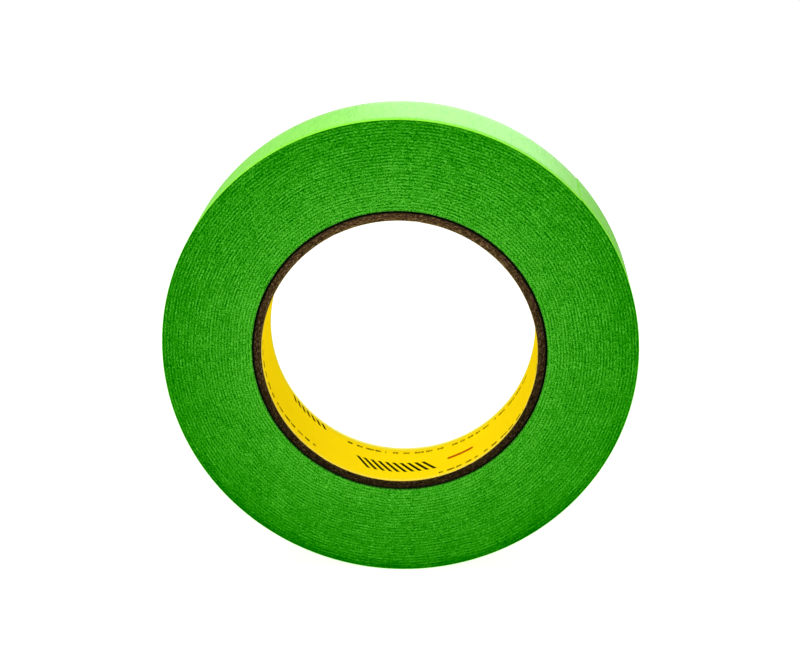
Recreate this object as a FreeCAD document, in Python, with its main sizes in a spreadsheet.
import FreeCAD, Part
import math
import os
import Sketcher

# A roll of masking tape standing on its rim.
# Frame: origin at the centre of the bore, +Y along the bore axis (front face at -Y), +Z up.
# Angles named "clock" are measured in the XZ plane from +X towards +Z, in degrees.

V = FreeCAD.Vector
doc = FreeCAD.newDocument("masking_tape_roll")

# ---------------------------------------------------------------- driving sizes
sheet = doc.addObject("Spreadsheet::Sheet", "Sizes")
rows = [
    ("width", "24.0", "tape and core width"),
    ("bore_rad", "38.1", "bore radius, a 3 inch core"),
    ("liner_thk", "0.13", "printed liner paper"),
    ("ply_thk", "0.525", "one paperboard ply"),
    ("ply_setback", "0.8", "how far the last ply stops short of each face"),
    ("seam_gap", "0.35", "open width of a ply's butt seam"),
    ("seam_lean", "38.0", "lean of a butt seam from the bore axis"),
    ("lap_thk", "0.151", "one lap: backing plus adhesive"),
    ("backing_thk", "0.111", "crepe paper backing"),
    ("outer_rad", "65.9", "roll radius at the tape's free end"),
    ("end_clock", "42.4", "clock angle of the tape's free end"),
    ("link_angle", "7.0", "arc of one link of the free end"),
    ("link_gap", "0.03", "arc between links, in degrees"),
    ("link_lift", "0.04", "clearance between a link and the lap below"),
]
sheet.set("A1", "name")
sheet.set("B1", "value")
sheet.set("C1", "note")
for i, (alias, value, note) in enumerate(rows, start=2):
    sheet.set("A%d" % i, alias)
    sheet.set("B%d" % i, value)
    sheet.set("C%d" % i, note)
    sheet.setAlias("B%d" % i, alias)

# Sizes that follow from the driving ones.
derived = [
    ("half_width", "=width / 2"),
    ("ply_in_1", "=bore_rad + liner_thk"),
    ("ply_in_2", "=ply_in_1 + ply_thk"),
    ("ply_in_3", "=ply_in_2 + ply_thk"),
    ("ply_in_4", "=ply_in_3 + ply_thk"),
    ("ply_in_5", "=ply_in_4 + ply_thk"),
    ("core_rad", "=ply_in_5 + ply_thk"),
    ("adhesive_thk", "=lap_thk - backing_thk"),
    ("spiral_step", "=lap_thk / 4"),
    ("inner_half", "=half_width - ply_setback"),
    ("link_rad", "=outer_rad + link_lift"),
    ("glue_rad", "=link_rad - backing_thk"),
    ("under_rad", "=link_rad - lap_thk"),
    ("link_sweep", "=link_angle - link_gap"),
]
for i, (alias, formula) in enumerate(derived, start=len(rows) + 2):
    sheet.set("A%d" % i, alias)
    sheet.setAlias("B%d" % i, alias)
    sheet.set("B%d" % i, formula)
doc.recompute()


def size(alias):
    return float(sheet.get(alias))


def plane(body, role):
    for feature in body.Origin.OriginFeatures:
        if feature.Role == role:
            return feature
    raise RuntimeError("no origin plane " + role)


def new_sketch(body, name, role):
    sketch = body.newObject("Sketcher::SketchObject", name)
    sketch.AttachmentSupport = [(plane(body, role), "")]
    sketch.MapMode = "FlatFace"
    return sketch


def rectangle(sketch, inner, outer, half, names):
    """A rectangle from inner to outer along the sketch's x, and half each way along its y, with its sizes read from the sheet."""
    a, b, c = size(inner), size(outer), size(half)
    corners = [V(a, -c, 0), V(b, -c, 0), V(b, c, 0), V(a, c, 0)]
    for i in range(4):
        sketch.addGeometry(Part.LineSegment(corners[i], corners[(i + 1) % 4]), False)
    for i in range(4):
        sketch.addConstraint(Sketcher.Constraint("Coincident", i, 2, (i + 1) % 4, 1))
    sketch.addConstraint(Sketcher.Constraint("Horizontal", 0))
    sketch.addConstraint(Sketcher.Constraint("Vertical", 1))
    sketch.addConstraint(Sketcher.Constraint("Horizontal", 2))
    sketch.addConstraint(Sketcher.Constraint("Vertical", 3))
    for label, index, kind, first, at, value in (
        (names + "_inner", None, "DistanceX", 0, 1, a),
        (names + "_outer", None, "DistanceX", 0, 2, b),
        (names + "_low", None, "DistanceY", 0, 1, -c),
        (names + "_high", None, "DistanceY", 2, 1, c),
    ):
        n = sketch.addConstraint(
            Sketcher.Constraint(kind, -1, 1, first, at, value)
            if value >= 0
            else Sketcher.Constraint(kind, first, at, -1, 1, -value)
        )
        sketch.renameConstraint(n, label)
    sketch.setExpression("Constraints.%s_inner" % names, "Sizes.%s" % inner)
    sketch.setExpression("Constraints.%s_outer" % names, "Sizes.%s" % outer)
    sketch.setExpression("Constraints.%s_low" % names, "Sizes.%s" % half)
    sketch.setExpression("Constraints.%s_high" % names, "Sizes.%s" % half)


def ring_body(label, inner, outer, half, sweep=None):
    """A body made by turning a rectangular section about +Y, all the way round or through a sweep in degrees."""
    body = doc.addObject("PartDesign::Body", label)
    body.Label = label
    section = new_sketch(body, label + "_section", "XY_Plane")
    rectangle(section, inner, outer, half, "s")
    turn = body.newObject("PartDesign::Revolution", label + "_turn")
    turn.Profile = section
    turn.ReferenceAxis = (section, ["V_Axis"])
    if sweep is None:
        turn.Angle = 360.0
    else:
        turn.Angle = size(sweep)
        turn.setExpression("Angle", "Sizes." + sweep)
    body.Tip = turn
    return body


def seam(body, label, gap, lean):
    """A butt seam: a slanted slot cut through the +Z side of a ring, seen from above as a leaning parallelogram."""
    sketch = new_sketch(body, label + "_seam", "XY_Plane")
    reach = size("half_width") + 2.0
    drift = reach * math.tan(math.radians(size(lean)))
    side = size(gap) / 2.0 / math.cos(math.radians(size(lean)))
    corners = [
        V(-drift - side, -reach, 0),
        V(-drift + side, -reach, 0),
        V(drift + side, reach, 0),
        V(drift - side, reach, 0),
    ]
    for i in range(4):
        sketch.addGeometry(Part.LineSegment(corners[i], corners[(i + 1) % 4]), False)
    for i in range(4):
        sketch.addConstraint(Sketcher.Constraint("Coincident", i, 2, (i + 1) % 4, 1))
    sketch.addConstraint(Sketcher.Constraint("Horizontal", 0))
    sketch.addConstraint(Sketcher.Constraint("Horizontal", 2))
    sketch.addConstraint(Sketcher.Constraint("Parallel", 1, 3))
    low = sketch.addConstraint(
        Sketcher.Constraint("DistanceY", 0, 1, -1, 1, reach)
    )
    high = sketch.addConstraint(
        Sketcher.Constraint("DistanceY", -1, 1, 2, 1, reach)
    )
    left = sketch.addConstraint(
        Sketcher.Constraint("DistanceX", 0, 1, -1, 1, drift + side)
    )
    wide = sketch.addConstraint(
        Sketcher.Constraint("DistanceX", 0, 1, 0, 2, 2 * side)
    )
    far = sketch.addConstraint(
        Sketcher.Constraint("DistanceX", -1, 1, 2, 1, drift + side)
    )
    for n, name, formula in (
        (low, "reach_low", "Sizes.half_width + 2"),
        (high, "reach_high", "Sizes.half_width + 2"),
        (left, "drift_left", "(Sizes.half_width + 2) * tan(Sizes.%s) + Sizes.%s / 2 / cos(Sizes.%s)" % (lean, gap, lean)),
        (wide, "slot", "Sizes.%s / cos(Sizes.%s)" % (gap, lean)),
        (far, "drift_right", "(Sizes.half_width + 2) * tan(Sizes.%s) + Sizes.%s / 2 / cos(Sizes.%s)" % (lean, gap, lean)),
    ):
        sketch.renameConstraint(n, name)
        sketch.setExpression("Constraints." + name, formula)
    cut = body.newObject("PartDesign::Pocket", label + "_slot")
    cut.Profile = sketch
    cut.Type = "Length"
    cut.Length = 60.0
    cut.Reversed = True
    body.Tip = cut
    return cut


def clock_turn(angle):
    """The rotation that takes clock angle 90 to the given clock angle."""
    return FreeCAD.Rotation(V(0, 1, 0), 90.0 - angle)


parts = {}

# ---------------------------------------------------------------- the core
# Each ply is wound on the one inside it, and its butt seam sits at its own clock angle.
liner = ring_body("core_liner", "bore_rad", "ply_in_1", "half_width")
parts["core_liner"] = liner
seams = {"core_liner": 74.0}
ply_edges = ["ply_in_1", "ply_in_2", "ply_in_3", "ply_in_4", "ply_in_5", "core_rad"]
ply_clock = [327.3, 206.0, 52.0, 129.0, 268.0]
for n in range(5):
    name = "core_ply_%d" % (n + 1)
    half = "inner_half" if n == 4 else "half_width"
    body = ring_body(name, ply_edges[n], ply_edges[n + 1], half)
    parts[name] = body
    seams[name] = ply_clock[n]
doc.recompute()
whole = {name: parts[name].Shape.Volume for name in seams}
for name, clock in seams.items():
    seam(parts[name], name, "seam_gap", "seam_lean")
doc.recompute()
for name, clock in seams.items():
    if not parts[name].Shape.Volume < whole[name] - 0.2:
        raise RuntimeError("the seam of %s cut nothing" % name)
    parts[name].Placement = FreeCAD.Placement(V(0, 0, 0), clock_turn(clock))

# ---------------------------------------------------------------- the wound tape
# The strip's outer surface is a spiral of quarter turns. Each quarter has a centre of its own
# on a small square, so that the quarters run into each other smoothly and one full turn
# comes in by one lap. The free end is at the spiral's largest radius.
end = math.radians(size("end_clock"))
side = size("spiral_step")
along_end = V(math.cos(end), 0, math.sin(end))
along_next = V(math.sin(end), 0, -math.cos(end))
square = [
    (along_end - along_next) * (side / 2),
    (along_end + along_next) * (side / 2),
    (along_next - along_end) * (side / 2),
    (along_end + along_next) * (-side / 2),
]


def spiral_point(turned, inset):
    """The point at this many degrees from the free end, wound clockwise seen from the front, this far in from the strip's outer surface."""
    quarter = int(math.floor(turned / 90.0 + 1e-9))
    radius = size("outer_rad") - quarter * side - inset
    at = end - math.radians(turned)
    return square[quarter % 4] + V(math.cos(at), 0, math.sin(at)) * radius


def spiral_edges(start, stop, inset):
    """Tangent arcs along the spiral from start to stop degrees."""
    edges, at = [], start
    while at < stop - 1e-9:
        nxt = min((math.floor(at / 90.0 + 1e-9) + 1) * 90.0, stop)
        quarter = int(math.floor(at / 90.0 + 1e-9))
        radius = size("outer_rad") - quarter * side - inset
        centre = square[quarter % 4]
        points = []
        for turned in (at, (at + nxt) / 2, nxt):
            a = end - math.radians(turned)
            points.append(centre + V(math.cos(a), 0, math.sin(a)) * radius)
        edges.append(Part.Arc(*points).toShape())
        at = nxt
    return edges


def across(face):
    """A flat profile at y = 0, pulled out to the full width."""
    face.translate(V(0, -size("half_width"), 0))
    return face.extrude(V(0, size("width"), 0))


def strip(start, stop, outer_inset, inner_inset):
    outer = spiral_edges(start, stop, outer_inset)
    inner = spiral_edges(start, stop, inner_inset)
    ends = [
        Part.makeLine(far_end(outer, True), far_end(inner, True)),
        Part.makeLine(far_end(outer, False), far_end(inner, False)),
    ]
    wire = Part.Wire(Part.__sortEdges__(outer + inner + ends))
    return across(Part.Face(wire))


def far_end(edges, first):
    edge = edges[0] if first else edges[-1]
    return edge.valueAt(edge.FirstParameter if first else edge.LastParameter)


# The pack of laps under the last one. Its outline starts under the free end, runs a full turn
# clockwise and comes in by one lap, where the last lap steps down onto it.
lap = size("lap_thk")
outline = spiral_edges(360.0, 720.0, 0.0)
step = Part.makeLine(far_end(outline, False), far_end(outline, True))
outer_wire = Part.Wire(Part.__sortEdges__(outline + [step]))
pack_face = Part.Face(outer_wire)
hole = Part.Face(Part.Wire(Part.makeCircle(size("core_rad"), V(0, 0, 0), V(0, 1, 0))))
pack_solid = across(pack_face.cut(hole).Faces[0])
pack = doc.addObject("Part::Feature", "wound_tape")
pack.Label = "wound_tape"
pack.Shape = pack_solid.Solids[0] if pack_solid.Solids else pack_solid
parts["wound_tape"] = pack

# The last lap, from the root of the free end round to where it dives under that end.
root_at = 3 * size("link_angle")
lap_layers = (
    ("outer_lap_backing", 0.0, size("backing_thk")),
    ("outer_lap_adhesive", size("backing_thk"), lap),
)
for name, outside, inside in lap_layers:
    piece = doc.addObject("Part::Feature", name)
    piece.Label = name
    piece.Shape = strip(root_at, 360.0, outside, inside)
    parts[name] = piece

# ---------------------------------------------------------------- the free end
# Three links of the strip, root to tip, each turned about the spiral's first centre.
# Each link's hinge is its outer corner on the root side, so that it opens outwards without
# pressing on the strip before it. The links stand clear of the lap below by a thin film.
links = (("tail_root", 2), ("tail_mid", 1), ("tail_tip", 0))
for link, place in links:
    for layer, inner, outer in (
        ("backing", "glue_rad", "link_rad"),
        ("adhesive", "under_rad", "glue_rad"),
    ):
        name = "%s_%s" % (link, layer)
        body = ring_body(name, inner, outer, "half_width", "link_sweep")
        parts[name] = body
        doc.recompute()
        # A turn about +Y takes +X towards -Z, so the sweep runs clockwise seen from the front.
        start = size("end_clock") - place * size("link_angle")
        body.Placement = FreeCAD.Placement(square[0], FreeCAD.Rotation(V(0, 1, 0), -start))

doc.recompute()

# ---------------------------------------------------------------- checks
for obj in doc.Objects:
    if "Invalid" in obj.State or "Error" in obj.State:
        raise RuntimeError("%s is %s" % (obj.Name, obj.State))
for name, obj in parts.items():
    shape = obj.Shape
    if shape.isNull() or not shape.isValid():
        raise RuntimeError("%s has no valid shape" % name)
    if len(shape.Solids) != 1:
        raise RuntimeError("%s has %d solids" % (name, len(shape.Solids)))
    box = shape.BoundBox
    print(
        "%-22s vol %10.3f  x %7.3f..%7.3f  y %6.2f..%6.2f  z %7.3f..%7.3f"
        % (name, shape.Volume, box.XMin, box.XMax, box.YMin, box.YMax, box.ZMin, box.ZMax)
    )

os.makedirs("parts", exist_ok=True)
for name, obj in parts.items():
    obj.Shape.exportStep(os.path.join("parts", name + ".step"))

# Hinge lines of the free end, root to tip: each link's own outer corner on its root side.
for link, place in links:
    p = spiral_point((place + 1) * size("link_angle") - size("link_gap"), -size("link_lift"))
    print("%s hinge at x %.4f z %.4f" % (link, p.x, p.z))
